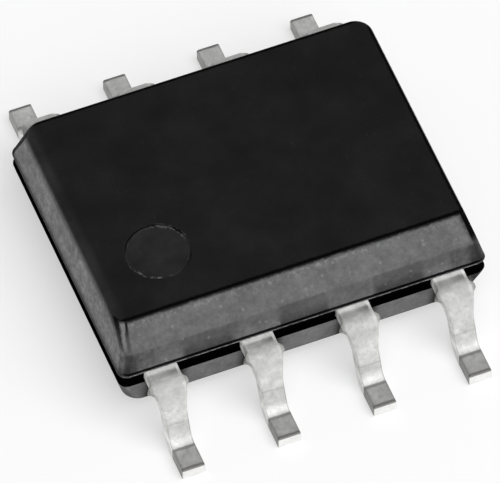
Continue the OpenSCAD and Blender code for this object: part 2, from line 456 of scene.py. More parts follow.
class MouldedEpoxy(Finish):
    """Filled epoxy: a deep black top, walls painted grey for the reflection that they show, painted
    highlights, and painted shade in the gaps, along edges and at corners.
    """

    slot = "black_epoxy"
    top_colour: Colour = (0.0040, 0.0040, 0.0043)
    # Grey of the walls, painted for the reflection that they show; the top's black is the epoxy's own.
    wall_reflection_colour: Colour = (0.108, 0.108, 0.110)
    # Near-black of the painted shade, laid where shade falls: in the gaps, along edges and at corners.
    painted_shade_colour: Colour = (0.0012, 0.0012, 0.0012)
    # Grey of the dust specks, also used for the painted highlights on the bevel's edge, the lip, the mark's
    # edge and the near corner.
    dust_and_highlight_colour: Colour = (0.46, 0.46, 0.46)
    speck_dust: float = 0.14
    # Strengths of the painted highlights on the bevel's edge, the mark's edge and the near corner.
    bevel_highlight_share: float = 0.22
    mark_highlight_share: float = 0.26
    corner_highlight_share: float = 0.16
    # Strengths of the painted shade in the groove, along the rims, at the corners and ends, under the leads
    # and along the walls' foot.
    groove_shade: float = 0.92
    rim_shade: float = 0.85
    corner_shade: float = 0.90
    far_corner_shade: float = 0.95
    far_end_shade: float = 0.70
    near_end_shade: float = 0.60
    back_corner_shade: float = 0.90
    underside_shade: float = 0.80
    foot_edge_shade: float = 0.70

    def shade(self) -> None:
        """Lays the top, the dust, the painted highlights and the painted shade over the walls."""
        self.patterns()
        self.landmarks()
        # Painted shade: black() gathers the shade masks, which are laid in a near-black colour.
        black = self.black()
        colour = self.layered(
            self.walls(),
            (self.specks(12.0, 0.20, 0.34) * self.wall * self.speck_dust, self.dust_and_highlight_colour),
            (self.bevel_edge_highlight() * self.bevel_highlight_share, self.dust_and_highlight_colour),
            (self.darkened(), self.top()),
            (self.lip(), self.dust_and_highlight_colour),
            (self.mark_edge_highlight() * self.mark_highlight_share, self.dust_and_highlight_colour),
            (self.corner_highlight() * self.corner_highlight_share, self.dust_and_highlight_colour),
            (black, self.painted_shade_colour))
        relief = self.relief(
            (self.fine + 0.5 * self.noise(95.0, 1.0), 0.003), (self.grain, 0.004),
            (self.cloud + 0.5 * self.blotch, 0.006), (1.0 - self.specks(11.0, 0.10, 0.30), 0.003))
        # Where the painted shade lies, the surface is also made metallic and fully rough, so it shows no
        # reflection there.
        self.surface(base_color=colour, metallic=black, normal=relief, ior=1.5, specular_ior_level=0.20,
                     roughness=0.46 + 0.14 * self.fine + 0.06 * self.wall | black)

    def patterns(self) -> None:
        """Sets the noises, from slow clouds to the grain of the filler, and the raggedness of edges."""
        self.cloud = self.noise(1.3, 4.0, 0.55)
        self.blotch = self.noise(5.0, 3.0, 0.6)
        self.grain = self.noise(15.0, 3.0, 0.7)
        self.crisp = self.noise(19.0, 2.0, 0.6)
        self.fine = self.noise(42.0, 3.0, 0.65)
        self.ragged = 0.024 * (self.crisp - 0.5) + 0.020 * (self.grain - 0.5)

    def landmarks(self) -> None:
        """Sets the masks and measures that several others are made of."""
        size, (x, y, z), (face_x, face_y, face_z) = self.size, self.at, self.facing
        self.flat_top = face_z.rise(0.90, 0.985)
        self.wall = 1.0 - self.flat_top
        self.bevelled = (z + 2.0 * self.ragged).rise(size.bevel_foot - 0.06, size.bevel_foot + 0.06)
        self.lower = (1.0 - self.bevelled) * z.rise(size.frame_top, size.frame_top + 0.05)
        self.under = z.rise(size.frame_bottom + 0.01, size.frame_bottom - 0.01)
        self.front = face_y.rise(-0.02, -0.06)
        self.by_an_end = abs(x).rise(size.half_length - 0.50, size.half_length - 0.45)
        self.from_far_end = size.half_length - size.draft * (z - size.frame_top) - x + 1.5 * self.ragged
        # How far the surface has turned from the ends to the front, in radians.
        turned = self.math(Sum.ANGLE, -face_y, abs(face_x)) + 9.0 * self.ragged
        self.turned = turned - 0.16 * z.rise(size.top - 0.14, size.top)
        self.mark_x, self.mark_y = x - size.mark[0], y - size.mark[1]
        self.from_mark = self.reach(self.mark_x, self.mark_y)

    def walls(self) -> bpy.types.NodeSocket:
        """Mottled grey of the walls and the bevel, painted for the reflection that they show and shaded by
        the share of light that they keep.

        Returns:
            A colour.
        """
        # Painted light: the near end wall is painted lighter than the others, by a mottled amount.
        end = self.facing.x.rise(-0.55, -0.80)
        lightness = (0.70 + 0.60 * self.cloud) * (0.62 + 0.76 * self.blotch) * (0.50 + 1.00 * self.grain)
        lively = 0.60 + 0.9 * (self.blotch - 0.5) + 1.2 * (self.grain - 0.5)
        return self.tint(self.wall_reflection_colour, lightness * (1.0 + end * lively) * self.kept_light())

    def kept_light(self) -> Signal:
        """Share of the light that the walls keep: less at the parting line, least between the leads.

        Returns:
            A share, a little over 1 under the lead frame.
        """
        size, z = self.size, self.at.z
        over_lead = abs(self.from_lead).rise(0.36, 0.26)
        low = z.rise(size.frame_top + 0.25, size.frame_top + 0.04)
        upright = abs(self.facing.y).rise(0.60, 0.90)
        under = z.rise(size.frame_bottom, size.frame_bottom - 0.02)
        parting = z.rise(size.frame_top + 0.17, size.frame_top - 0.03) * (1.0 - upright)
        lost = over_lead.blend(low.blend(0.36, 0.70), low.blend(0.17, -0.06))
        return (1.0 - lost * upright * (1.0 - under)) * (1.0 - 0.80 * parting) * (1.0 + 0.22 * under)

    def bevel_edge_highlight(self) -> Signal:
        """Painted highlight: bright specks under the bevel's top edge."""
        rim = self.at.z.rise(self.size.top - 0.085, self.size.top - 0.010)
        return self.crisp.rise(0.50, 0.66) * rim * self.wall * self.facing.y.rise(-0.25, -0.45)

    def darkened(self) -> Signal:
        """Where the black of the top lies: on the flat, in the mark and over the near end's rim.

        Returns:
            A mask.
        """
        size, z = self.size, self.at.z
        recess = self.from_mark.rise(size.mark_radius + 0.03, size.mark_radius + 0.02) * z.rise(
            size.top - 0.06, size.top - 0.04)
        rim = (self.facing.x + abs(self.facing.y)).rise(0.0, -0.45)
        return self.flat_top | recess | rim * z.rise(size.top - 0.15, size.top + 0.01)

    def top(self) -> bpy.types.NodeSocket:
        """Cloudy black of the top, with painted light along the near end, and lighter in the mark.

        Returns:
            A colour.
        """
        size = self.size
        from_near_end = self.at.x + (size.half_length - size.top_inset)
        # Painted light along the near end of the top.
        glow = (from_near_end + 0.08 * (self.blotch - 0.5)).rise(0.17, 0.06)
        inside = self.from_mark.rise(size.mark_radius + 0.02, size.mark_radius - 0.04)
        clouds = (3.2 * self.cloud - 0.6 | 0.1) * (0.50 + 1.00 * self.blotch)
        lightness = (1.0 + 2.2 * glow + 2.0 * inside) * clouds * (0.80 + 0.40 * self.grain)
        return self.tint(self.top_colour, lightness)

    def lip(self) -> Signal:
        """Painted highlight: a broken light line along the lip over the band, at the front."""
        line = self.at.z.band(self.size.frame_top - 0.002, self.size.frame_top + 0.014, soft=0.006)
        return line * self.facing.y.rise(-0.25, -0.45) * (0.04 + 0.36 * self.crisp.rise(0.40, 0.62))

    def mark_edge_highlight(self) -> Signal:
        """Painted highlight: a broken light line round the lead 1 mark, stronger on two opposite sides.

        Returns:
            A mask.
        """
        radius = self.size.mark_radius
        line = self.from_mark.band(radius - 0.024, radius + 0.004, soft=0.016)
        side = abs(0.60 * self.mark_x + 0.80 * self.mark_y) / radius
        return line * self.grain.rise(0.46, 0.62) * (0.10 + 0.90 * side.rise(0.65, 0.98))

    def corner_highlight(self) -> Signal:
        """Painted highlight up the near front corner, between its two painted shade lines."""
        strip = self.turned.band(0.66, 1.02, soft=0.16) * self.wall * self.facing.x.rise(0.0, -0.2)
        return strip * self.at.z.rise(self.size.bevel_foot, self.size.bevel_foot + 0.08)

    def black(self) -> Signal:
        """Everything that lies in the dark."""
        ends = self.near_corner() | self.far_corner() | self.near_end()
        return self.gap() | self.rims() | ends | self.underside()

    def gap(self) -> Signal:
        """Painted shade in the band at the lead frame's height, and in the fine groove over it at the front.

        Returns:
            A mask.
        """
        size, z = self.size, self.at.z
        band = (z + 0.7 * self.ragged).band(size.frame_bottom - 0.006, size.frame_top - 0.005, soft=0.006)
        groove = (z + 0.4 * self.ragged).band(size.frame_top + 0.024, size.frame_top + 0.054, soft=0.012)
        return band | self.groove_shade * groove * self.facing.y.rise(-0.5, -0.8)

    def rims(self) -> Signal:
        """Painted shade along the edges of the top, on the flat and down the bevel, and painted contact
        shadow along the lowest edge of the walls.

        Returns:
            A mask.
        """
        size, (x, y, z) = self.size, self.at
        front_edge = y + (size.half_width - size.bevel_top_inset)
        edge = front_edge & (size.half_length - size.top_inset) - x & (size.half_width - size.top_inset) - y
        flat = (edge + self.ragged).rise(0.060, 0.030) * self.flat_top.rise(0.0, 0.4)
        # Painted shade along the bevel's top edge.
        rough = (z + self.ragged).rise(size.top - 0.030, size.top - 0.004) * self.facing.y.rise(-0.10, -0.25)
        foot = z.rise(size.bottom + 0.040, size.bottom + 0.020) * abs(self.facing.y).rise(0.1, 0.5)
        return self.rim_shade * (flat | rough) | self.foot_edge_shade * foot

    def near_corner(self) -> Signal:
        """Two painted shade lines up the bevel where the ends turn into the front, and painted shade below
        them.

        Returns:
            A mask.
        """
        size, z = self.size, self.at.z
        first = self.turned.band(-0.10, 0.50, soft=0.30) * z.rise(size.bevel_foot, size.top).blend(0.62, 0.95)
        second = self.turned.band(1.12, 1.42, soft=0.20) * abs(self.facing.x).rise(0.03, 0.14)
        second = second * z.rise(size.top - 0.15, size.top - 0.03).blend(0.50, 1.0)
        dim = 0.52 * self.turned.band(0.25, 1.40, soft=0.30) * self.lower
        lines = self.corner_shade * (first | second) * self.bevelled
        return self.by_an_end * self.front * (lines | dim)

    def far_corner(self) -> Signal:
        """Painted shade on the right front corner, and along the front beside it.

        Returns:
            A mask.
        """
        corner = self.facing.x.rise(0.02, 0.12) * (self.bevelled | 0.6) * self.by_an_end
        corner = corner * self.at.z.rise(self.size.frame_top, self.size.frame_top + 0.03)
        over = self.far_end_shade * self.from_far_end.rise(0.125, 0.055) * self.bevelled
        under = 0.60 * self.from_far_end.rise(0.30, 0.02) * self.lower
        return self.front * (self.far_corner_shade * corner | over | under)

    def near_end(self) -> Signal:
        """Painted shade on the near end beside the bevel, and a painted shade line where that end turns to
        the back.

        Returns:
            A mask.
        """
        size, (_, y, z), (face_x, face_y, _) = self.size, self.at, self.facing
        slope = size.bevel_top_inset / (size.top - size.bevel_foot)
        along = y + size.half_width - slope * (z - size.bevel_foot) + 1.5 * self.ragged
        wing = along.rise(0.46, 0.24) * z.rise(size.bevel_foot, size.top - 0.04) * face_x.rise(-0.5, -0.8)
        line = face_y.rise(0.12, 0.30) * face_y.rise(0.80, 0.68) * face_x.rise(-0.20, -0.40)
        return self.near_end_shade * wing | self.back_corner_shade * line * (1.0 - self.under)

    def underside(self) -> Signal:
        """Shade on the lower walls behind the leads and towards the far end."""
        shade = abs(self.from_lead - 0.06).rise(0.34, 0.20) | self.from_far_end.rise(0.40, 0.24)
        return self.underside_shade * shade * self.under * abs(self.facing.y).rise(0.4, 0.6)


class TinPlate(Finish):
    """Matt tin over copper: soft crystal mottling, creases at the bends, painted highlights and shade along
    the bends and edges, and unplated cut ends on the stubs.
    """

    slot = "tinned_copper"
    tin: Colour = (0.56, 0.56, 0.55)
    foot_tin: Colour = (0.36, 0.36, 0.355)
    # Dark grey of the stubs' unplated cut ends, also used for the dark lines at the feet, which are painted
    # shade along the foot's edges and the tip's top edge.
    cut: Colour = (0.10, 0.095, 0.09)
    copper: Colour = (0.72, 0.43, 0.30)
    leg_band_height: float = 0.40

    def shade(self) -> None:
        """Lays the feet's darker grey, the painted light and shade, the dark lines and the unplated stub ends
        over the plating.
        """
        self.patterns()
        self.landmarks()
        inside = self.out.rise(self.size.half_width - 0.055, self.size.half_width - 0.065)
        # Painted light: the back feet keep most of the plating's lighter tone, making up for the body's
        # shadow over them, while the front feet take the darker grey.
        front_foot = self.foot * (1.0 - self.tip) * (1.0 - 0.85 * self.at.y.rise(-0.1, 0.1))
        plating = self.layered(self.tin, (front_foot, self.foot_tin), (inside, self.copper))
        # The cut end face of each foot is painted lighter, near white and without mottling.
        plating = self.tint(plating, self.lightness() * (1.0 + 0.40 * self.tip))
        relief = self.relief((self.fine + 0.8 * self.crystals, 0.0022),
                             (self.mottle + 0.5 * self.patch, 0.008), (1.0 - self.crease, 0.004))
        self.surface(base_color=self.mix(self.dark_lines_and_cut_ends(), plating, self.cut), metallic=0.28,
                     roughness=0.52 + 0.16 * self.fine, normal=relief)

    def patterns(self) -> None:
        """Sets the noises, and the distances out from the middle and across the lead."""
        self.mottle = self.noise(5.5, 4.0, 0.6, 0.6)
        self.patch = self.noise(15.0, 3.0, 0.6, 0.3)
        self.fine = self.noise(48.0, 3.0, 0.65)
        self.crystals = self.cell_lots(26.0)
        self.out = abs(self.at.y)
        self.across = abs(self.from_lead)
        self.ragged_out = self.out + 0.030 * (self.patch - 0.5)

    def landmarks(self) -> None:
        """Sets the masks of the lead's stretches and of the crease at its upper bend."""
        size, z = self.size, self.at.z
        self.shoulder = self.out.rise(size.half_width + 0.09, size.half_width + 0.05)
        self.high = z.rise(size.frame_bottom - 0.22, size.frame_bottom - 0.16)
        self.foot = self.out.rise(size.foot_start - 0.004, size.foot_start + 0.010)
        self.tip = self.out.rise(size.half_span - 0.02, size.half_span - 0.01)
        self.tip = self.tip * abs(self.facing.y).rise(0.6, 0.9)
        # Painted shade in the crease at the upper bend, strongest on the right side of each lead; the same
        # mask also gives the crease its relief.
        crease = self.ragged_out.band(size.half_width + 0.080, size.half_width + 0.110, soft=0.055)
        strength = (0.75 + 0.55 * self.from_lead.rise(-0.05, 0.15)) * (0.60 + 0.75 * self.patch)
        self.crease = crease * strength * z.rise(size.frame_top - 0.12, size.frame_top - 0.04)

    def lightness(self) -> Signal:
        """Mottling, painted highlights, painted shade and a darker band across the leg, from the shoulder
        down to the foot.

        Returns:
            Lightness round 1.
        """
        size, z, right = self.size, self.at.z, self.from_lead.rise(-0.05, 0.05)
        after = self.ragged_out.rise(size.half_width + 0.12, size.half_width + 0.15)
        after = after * (z + 0.10 * (self.patch - 0.5)).rise(size.frame_top - 0.24, size.frame_top - 0.06)
        level = z + 0.03 * (self.mottle - 0.5) + 0.20 * (self.noise(0.9, 0.0) - 0.5)
        leg_band = (0.4 * level.band(self.leg_band_height - 0.05, self.leg_band_height, soft=0.06)
                   | level.band(self.leg_band_height, self.leg_band_height + 0.012, soft=0.014))
        lower = z.band(size.lead_thickness, size.lead_thickness + 0.07, soft=0.05)
        lower = lower * self.out.rise(size.foot_start + 0.02, size.foot_start - 0.04)
        leg, sideways, half_neck = 1.0 - self.foot, abs(self.facing.x), size.lead_width / 2
        flank = sideways.rise(0.80, 0.95) * leg
        turned = sideways.band(0.35, 0.70, soft=0.15) * leg * (1.0 - self.shoulder)
        turned = turned * (1.0 - self.high) * (0.3 + 0.7 * right)
        neck_edge = self.across.band(half_neck - 0.034, half_neck - 0.012, soft=0.014) * self.high
        neck_edge = neck_edge * (0.25 + 0.75 * right)
        stub = self.across.rise(half_neck - 0.006, half_neck + 0.012) * self.high
        mottling = (0.64 + 0.72 * self.mottle) * (0.78 + 0.44 * self.patch) * (0.90 + 0.20 * self.fine)
        # Painted light and shade: the lower bend, the flat shoulder and the flanks are painted lighter and
        # the neck's edges carry a painted highlight; the crease, the stretch after it and the turned edges
        # get painted shade; the leg band and the stubs are painted darker.
        return self.marked(
            self.tip.blend(mottling, 1.0) * (0.95 + 0.10 * self.crystals),
            (0.16, lower), (-0.48, self.crease * (1.0 - 0.8 * neck_edge)), (-0.22, after),
            (-0.22, leg_band), (0.24, self.shoulder), (0.40, flank), (0.24, neck_edge * self.mottle),
            (-0.28, stub), (-0.30, turned))

    def dark_lines_and_cut_ends(self) -> Signal:
        """Dark line where the foot starts, painted shade along the foot's edges and the top edge of its cut
        tip, and unplated dark metal on the cut ends of the stubs.

        Returns:
            A mask.
        """
        size, z = self.size, self.at.z
        thick, half_foot, half_stub = size.lead_thickness, size.foot_width / 2, size.stub_width / 2
        line = self.ragged_out.band(size.foot_start + 0.006, size.foot_start + 0.036, soft=0.016)
        line = line * z.rise(thick - 0.08, thick - 0.03)
        # Painted shade along the foot's side edges and the top edge of its cut tip.
        edge = self.across.rise(half_foot - 0.032, half_foot - 0.012) * self.foot * (1.0 - self.tip)
        tip = self.ragged_out.rise(size.half_span - 0.050, size.half_span - 0.024)
        tip = tip * z.rise(thick - 0.04, thick - 0.02)
        stub_end = self.across.rise(half_stub - 0.014, half_stub - 0.004)
        stub_end = stub_end * z.rise(size.frame_bottom - 0.22, size.frame_bottom - 0.17)
        return 0.55 * line | 0.30 * edge | 0.85 * tip | 0.5 * stub_end


class DrawnWire(Finish):
    """Drawn gold wire with faint die lines and softly marked bonds."""

    slot = "gold"
    colour: Colour = (0.90, 0.66, 0.25)

    def shade(self) -> None:
        """Draws fine lines over soft gold."""
        lines = self.noise(90.0, 2.0, 0.5, 1.5)
        colour = self.tint(self.colour, 0.86 + 0.20 * self.noise(14.0, 3.0) + 0.10 * lines)
        self.surface(base_color=colour, roughness=0.20 + 0.16 * lines, metallic=1.0,
                     normal=self.relief((lines, 0.0006)))


class EmitterCrystal(Finish):
    """Red-brown crystal, sawn at its sides, with a gold contact ring on its polished top."""

    slot = "emitter_crystal"
    colour: Colour = (0.30, 0.085, 0.06)
    contact: Colour = (0.85, 0.62, 0.26)

    def shade(self) -> None:
        """Sets the square contact ring on the top and saw marks on the sides."""
        middle, _ = middle_and_half("emitter_die")
        top = self.facing.z.rise(0.8, 0.95)
        square = abs(self.at.x - middle.x) | abs(self.at.y - middle.y)
        ring = square.band(0.055, 0.075, soft=0.004) * top
        saw = self.noise(60.0, 2.0) * (1.0 - top)
        crystal = self.tint(self.colour, 0.8 + 0.4 * self.noise(20.0, 3.0))
        self.surface(base_color=self.mix(ring, crystal, self.contact), roughness=0.18 + 0.5 * saw,
                     metallic=ring, normal=self.relief((saw + 0.4 * ring, 0.003)))


class PolishedSilicon(Finish):
    """Detector chip: blue-grey photodiode field, fine metal tracks and a row of bond pads."""

    slot = "silicon"
    field_colour: Colour = (0.055, 0.075, 0.14)
    track: Colour = (0.62, 0.60, 0.56)
    edge: Colour = (0.14, 0.14, 0.15)
    pad_inset: float = 0.09
    pad_half_pitch: float = 0.118

    def shade(self) -> None:
        """Sets the guard ring, the circuit blocks and the bond pads on the top."""
        middle, half = middle_and_half("detector_die")
        x, y = self.at.x - middle.x, self.at.y - middle.y
        top = self.facing.z.rise(0.8, 0.95)
        inset = half.x - abs(x) & half.y - abs(y)
        guard = inset.band(0.018, 0.026, soft=0.003)
        lanes = Signal(self, self.cells(16.0, Cell.EDGE, 0.7).outputs["Distance"])
        circuit = y.rise(0.06, 0.08) * inset.rise(0.035, 0.045) * lanes.rise(0.10, 0.05)
        from_pad = (abs(abs(x) - (half.x - self.pad_inset))
                    | abs(abs(y - self.pad_half_pitch) - self.pad_half_pitch))
        metal = (guard | circuit | from_pad.rise(0.040, 0.034)) * top
        saw = self.noise(70.0, 2.0) * (1.0 - top)
        face = self.tint(self.field_colour, 0.8 + 0.5 * self.noise(5.0, 2.0))
        self.surface(base_color=self.layered(self.edge, (top, face), (metal, self.track)),
                     roughness=0.16 + 0.5 * saw + 0.12 * metal, metallic=metal,
                     normal=self.relief((saw + 0.3 * metal, 0.002)))


class SilverEpoxy(Finish):
    """Silver-filled adhesive: grey paste with flakes that glint."""

    slot = "silver_epoxy"
    colour: Colour = (0.50, 0.50, 0.48)

    def shade(self) -> None:
        """Scatters flakes through the paste."""
        flakes, paste = self.cell_lots(70.0), self.noise(18.0, 4.0)
        self.surface(base_color=self.tint(self.colour, 0.62 + 0.42 * flakes + 0.30 * paste),
                     roughness=0.62 - 0.25 * flakes, metallic=0.55 * flakes,
                     normal=self.relief((paste + 0.6 * flakes, 0.004)))


class ClearSilicone(Finish):
    """Clear coupling gel with a faint haze and a few trapped bubbles."""

    slot = "clear_silicone"
    colour: Colour = (0.88, 0.90, 0.90)

    def shade(self) -> None:
        """Sets the haze and the bubbles."""
        haze, bubbles = self.noise(3.0, 3.0), self.specks(6.0, 0.12, 0.16)
        self.surface(base_color=self.tint(self.colour, 0.90 + 0.14 * haze), ior=1.41,
                     roughness=0.10 + 0.14 * haze, alpha=0.38 + 0.16 * haze,
                     normal=self.relief((haze + 0.7 * bubbles, 0.006)))


class WhiteCoat(Finish):
    """White reflecting coat: chalky pigment with brush-free flow marks."""

    slot = "white_coat"
    colour: Colour = (0.84, 0.84, 0.82)

    def shade(self) -> None:
        """Sets the chalk's grain and the flow marks."""
        chalk, flow = self.noise(40.0, 3.0, 0.6), self.noise(2.5, 3.0, 0.5, 1.0)
        self.surface(base_color=self.tint(self.colour, 0.90 + 0.07 * chalk + 0.07 * flow),
                     roughness=0.60 + 0.2 * chalk, normal=self.relief((chalk + 2.0 * flow, 0.004)))


def to_data(mesh: bmesh.types.BMesh, name: str) -> bpy.types.Mesh:
    """Makes mesh data of built geometry.

    Args:
        mesh: The geometry, which is freed here.
        name: Name of the data.

    Returns:
        The data.
    """
    data = bpy.data.meshes.new(name)
    mesh.to_mesh(data)
    mesh.free()
    return data


def put(name: str, data: Any) -> bpy.types.Object:
    """Puts a new object in the scene.

    Args:
        name: Name of the object.
        data: Its mesh, camera or light.

    Returns:
        The object.
    """
    made = bpy.data.objects.new(name, data)
    bpy.context.scene.collection.objects.link(made)
    return made


def make_piece(name: str, mesh: bmesh.types.BMesh, finish: Finish, node: str) -> bpy.types.Object:
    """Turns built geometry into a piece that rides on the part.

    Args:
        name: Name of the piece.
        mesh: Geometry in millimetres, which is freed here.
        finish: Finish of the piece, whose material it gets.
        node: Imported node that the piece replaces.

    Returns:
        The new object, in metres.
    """
    bmesh.ops.recalc_face_normals(mesh, faces=mesh.faces)
    bmesh.ops.scale(mesh, vec=Vector((MM,) * 3), verts=mesh.verts)
    data = to_data(mesh, name)
    data.materials.append(finish.owner)
    data.shade_smooth()
    piece = put(name, data)
    even = piece.modifiers.new("even_flats", "WEIGHTED_NORMAL")
    even.keep_sharp = True
    even.weight = 80
    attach(piece, "root")
    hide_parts(node)
    return piece


def join_rings(mesh: bmesh.types.BMesh, lower: Sequence[Any], upper: Sequence[Any]) -> None:
    """Fills the strip between two rings of as many vertices.

    Args:
        mesh: Geometry that gets the faces.
        lower: Vertices of one ring.
        upper: Vertices of the other, in step with the first.
    """
    for i, corner in enumerate(lower):
        j = (i + 1) % len(lower)
        mesh.faces.new((corner, lower[j], upper[j], upper[i]))


class Level(NamedTuple):
    """One level of the moulding's outline: where its ends and back stand, and where its front does."""

    side_inset: float
    side_z: float
    front_inset: float
    front_z: float


@dataclass
class MouldingShell:
    """Outside of the moulding: two drafted halves, the band between them, bevel and mark."""

    size: PartSizes
    edge: float = 0.022
    edge_steps: int = 5
    corner_steps: int = 10
    long_steps: int = 36
    short_steps: int = 28
    mark_steps: int = 72
    flat_border: float = 0.02
    bevel_ease: float = 0.015
    # Inset and rise of the points of the rolled lip over the band, and inset and drop of those under it.
    upper_lip: tuple[Flat, ...] = (
        (0.010, 0.000), (0.003, 0.003), (0.000, 0.009), (0.004, 0.016),
        (0.014, 0.024), (0.018, 0.033), (0.016, 0.044))
    lower_lip: tuple[Flat, ...] = ((0.006, 0.012), (0.004, 0.004), (0.012, 0.000))
    # Distance from the mark's radius and depth of the rings of its wall, from outside in.
    mark_wall: tuple[Flat, ...] = (
        (0.020, 0.000), (0.010, 0.000), (0.003, 0.002), (-0.001, 0.008), (-0.004, 0.015))

    def wall(self, z: float) -> float:
        """Inset of the upper walls at a height."""
        return (z - self.size.frame_top) * self.size.draft

    def rounded_edge(self, slope: float, inset: float) -> list[Flat]:
        """Rounded edge between a wall and a level face.

        Args:
            slope: How far the wall leans in over each millimetre of its height.
            inset: Inset of the sharp corner that the edge takes the place of.

        Returns:
            Points (inset, distance from the face), from the wall to the face.
        """
        lean = math.degrees(math.atan(slope))
        back = self.edge * math.tan(math.radians((90.0 - lean) / 2.0))
        return arc((inset + back, self.edge), self.edge, 180.0 + lean, 270.0, self.edge_steps)

    def bevel_level(self, step: float) -> Level:
        """Level a step above the bevel's foot, or below it.

        Args:
            step: Height over the foot of the bevel.

        Returns:
            The level, eased where the wall turns into the bevel.
        """
        z = self.size.bevel_foot + step
        lean = self.size.bevel_slope if step > 0.0 else self.size.draft
        ease = max(0.0, self.bevel_ease - abs(step)) * 0.35
        return Level(self.wall(z), z, self.wall(self.size.bevel_foot) + step * lean + ease, z)

    def levels(self) -> list[Level]:
        """Levels from the flat underside, over the lips and the band between them, to the flat top.

        Returns:
            The levels, lowest first.
        """
        size, low, high, depth = self.size, self.size.frame_bottom, self.size.frame_top, self.size.band_depth
        under = self.rounded_edge(size.draft, (low - size.bottom) * size.draft)
        even = [(inset, size.bottom + rise) for inset, rise in reversed(under)]
        even += [((low - size.bottom - rise) * size.draft, size.bottom + rise) for rise in (0.15, 0.30, 0.42)]
        even += [(inset, low - drop) for inset, drop in self.lower_lip]
        even += [(depth - 0.006, low + 0.001), (depth, low + 0.006), (depth, (low + high) / 2),
                 (depth, high - 0.006), (depth - 0.006, high - 0.001)]
        even += [(inset, high + rise) for inset, rise in self.upper_lip]
        even += [(self.wall(z), z) for z in (high + 0.075, high + 0.16, high + 0.25, size.bevel_foot - 0.03)]
        bevel = [self.bevel_level(step)
                 for step in (-self.bevel_ease, 0.0, self.bevel_ease, 0.04, 0.08, 0.12, 0.16)]
        rims = zip(self.rounded_edge(size.draft, size.top_inset),
                   self.rounded_edge(size.bevel_slope, size.bevel_top_inset))
        return [*(Level(inset, z, inset, z) for inset, z in even), *bevel,
                *(Level(side, size.top - side_drop, front, size.top - front_drop)
                  for (side, side_drop), (front, front_drop) in rims)]

    def corners(self, level: Level) -> Point:
        """Radii of the upright corners, which change from the parting line to the flats.

        Args:
            level: Level at which they are taken.

        Returns:
            Radii of the front left, the front right and both back corners.
        """
        size = self.size
        fall = (size.frame_bottom - level.side_z) / (size.frame_bottom - size.bottom)
        if fall >= 0.0:
            front = between(size.front_corner, size.bottom_corner, fall)
            return front, front, size.back_corner
        rise = max((level.side_z - size.frame_top) / (size.top - size.frame_top), 0.0)
        return (between(size.front_corner, size.top_left_corner, rise),
                between(size.front_corner, size.top_right_corner, rise),
                between(size.back_corner, size.top_back_corner, rise))

    def outline(self, level: Level) -> list[Point]:
        """Points round one level, the same number at each.

        Args:
            level: The level.

        Returns:
            The points, from the front right corner round by the back.
        """
        left, right, back = self.corners(level)
        end, rear = self.size.half_length - level.side_inset, self.size.half_width - level.side_inset
        front, z, front_z = self.size.half_width - level.front_inset, level.side_z, level.front_z
        # Centre, radius, first and last height of each corner, and the steps of the straight before it.
        turns = ((end - back, rear - back, back, z, z, self.short_steps),
                 (back - end, rear - back, back, z, z, self.long_steps),
                 (left - end, left - front, left, z, front_z, self.short_steps),
                 (end - right, right - front, right, front_z, z, self.long_steps))
        corners = []
        for quarter, (x, y, radius, first_z, last_z, _) in enumerate(turns):
            flat = arc((x, y), radius, 90.0 * quarter, 90.0 * (quarter + 1), self.corner_steps)
            corners.append([(*point, between(first_z, last_z, i / self.corner_steps))
                            for i, point in enumerate(flat)])
        points: list[Point] = []
        for before, corner, turn in zip(corners[-1:] + corners, corners, turns):
            points += stretch(before[-1], corner[0], (i / turn[-1] for i in range(turn[-1])))
            points += corner[:-1]
        return points

    def mark_rings(self, mesh: bmesh.types.BMesh) -> list[Any]:
        """Builds the recess of the mark.

        Args:
            mesh: Geometry that gets the recess.

        Returns:
            Its outermost ring, in the plane of the top.
        """
        size = self.size
        wall = [(size.mark_radius + away, drop) for away, drop in self.mark_wall]
        floor = [(radius, size.mark_depth)
                 for radius in (size.mark_radius - 0.012, size.mark_radius - 0.030, size.mark_radius * 0.5)]
        rings = [[mesh.verts.new((x, y, size.top - drop))
                  for x, y in arc(size.mark, radius, 0.0, 360.0, self.mark_steps)[:-1]]
                 for radius, drop in wall + floor]
        for outer, inner in zip(rings, rings[1:]):
            join_rings(mesh, outer, inner)
        mesh.faces.new(rings[-1])
        return rings[0]

    def mesh(self) -> bmesh.types.BMesh:
        """Builds the closed shell.

        Returns:
            Its geometry, in millimetres.
        """
        mesh = bmesh.new()
        levels = self.levels()
        side_inset, z, front_inset, front_z = levels[-1]
        levels.append(Level(side_inset + self.flat_border, z, front_inset + self.flat_border, front_z))
        rings = [[mesh.verts.new(point) for point in self.outline(level)] for level in levels]
        for lower, upper in zip(rings, rings[1:]):
            join_rings(mesh, lower, upper)
        mesh.faces.new(rings[0])
        edges = []
        for ring in (rings[-1], self.mark_rings(mesh)):
            for pair in zip(ring, ring[1:] + ring[:1]):
                edges.append(mesh.edges.get(pair) or mesh.edges.new(pair))
        bmesh.ops.triangle_fill(mesh, use_beauty=True, edges=edges, normal=Vector((0.0, 0.0, 1.0)))
        return mesh

    def build(self) -> bpy.types.Object:
        """Builds the shell and dresses it."""
        return make_piece("moulding_shell", self.mesh(), MouldedEpoxy(self.size), "moulding")


